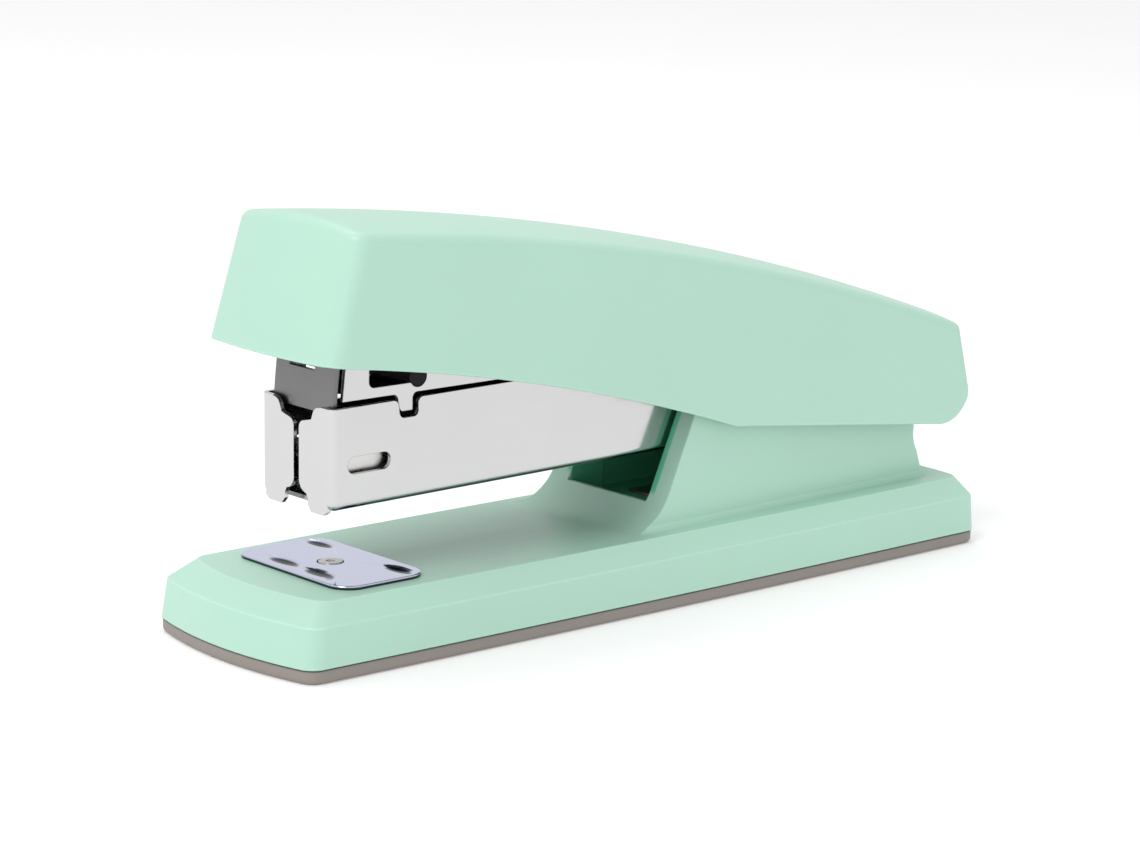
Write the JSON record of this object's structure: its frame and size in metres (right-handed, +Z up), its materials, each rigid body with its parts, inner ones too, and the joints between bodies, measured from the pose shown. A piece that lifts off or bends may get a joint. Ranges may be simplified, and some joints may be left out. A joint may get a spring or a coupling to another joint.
{
  "type": "desk stapler",
  "caption": "Half-strip desk stapler: spring-loaded cap and driver over a hinged staple magazine on a padded base with a turning anvil.",
  "frame": {"origin": "on the table, under the middle of the base's box", "axes": "+X from the nose to the hinge, +Z up, so the nose points along -X and the hinge pin lies along Y"},
  "size_m": [0.1295, 0.035, 0.0575],
  "materials": {
    "mint_plastic": "fine satin moulded ABS, mint green",
    "pad_grey": "soft warm grey elastomer",
    "zinc_steel": "bright zinc plated steel",
    "spring_steel": "oiled spring steel",
    "anvil_chrome": "chromed pressed steel",
    "bright_steel": "nickel plated sheet steel",
    "staple_wire": "galvanised staple wire",
    "pusher_black": "black acetal",
    "dark_steel": "blackened steel",
    "blade_steel": "ground hardened steel"
  },
  "bodies": {
    "base": {"base_shell": "mint_plastic", "base_pad": "pad_grey", "pad_screws": "zinc_steel", "pivot_pin": "zinc_steel", "pin_ring": "spring_steel", "magazine_spring": "spring_steel", "leaf_screw": "zinc_steel"},
    "anvil": {"anvil_plate": "anvil_chrome", "anvil_rivet": "zinc_steel", "anvil_washer": "spring_steel"},
    "magazine": {"magazine_channel": "bright_steel", "staple_rail": "bright_steel", "rail_rivets": "zinc_steel", "staple_strip": "staple_wire", "guide_rod": "zinc_steel", "rod_holders": "bright_steel", "spacer_tube": "zinc_steel", "pusher_spring": "spring_steel"},
    "pusher": {"pusher": "pusher_black"},
    "cover": {"magazine_cover": "bright_steel", "cover_pin": "dark_steel", "return_spring": "spring_steel", "spring_rivets": "zinc_steel"},
    "cap": {"cap_shell": "mint_plastic", "driver_frame": "bright_steel", "driver_blade": "blade_steel", "blade_rivets": "zinc_steel", "cap_screws": "zinc_steel"}
  },
  "joints": [
    {"name": "magazine_tilt", "type": "hinge", "parent": "base", "child": "magazine", "pos_m": [0.0485, 0, 0.0265], "axis": [0, 1, 0], "range_deg": [-4.5, 0], "stiffness_Nm_per_rad": 2, "springref_deg": 6.88, "deforming": ["magazine_spring"]},
    {"name": "cover_open", "type": "hinge", "parent": "magazine", "child": "cover", "pos_m": [0.0485, 0, 0.0265], "axis": [0, 1, 0], "range_deg": [0, 60]},
    {"name": "cap_press", "type": "hinge", "parent": "cover", "child": "cap", "pos_m": [0.0485, 0, 0.0265], "axis": [0, 1, 0], "range_deg": [-7, 0], "stiffness_Nm_per_rad": 2, "springref_deg": 5.73, "deforming": ["return_spring"]},
    {"name": "pusher_slide", "type": "slide", "parent": "magazine", "child": "pusher", "axis": [0.9999, 0, 0.0112], "range_m": [0, 0.03], "stiffness_N_per_m": 40, "springref_m": -0.02, "deforming": ["pusher_spring"]},
    {"name": "anvil_turn", "type": "hinge", "parent": "base", "child": "anvil", "pos_m": [-0.04645, 0, 0.0099], "axis": [0, 0, 1], "range_deg": [0, 180]}
  ]
}
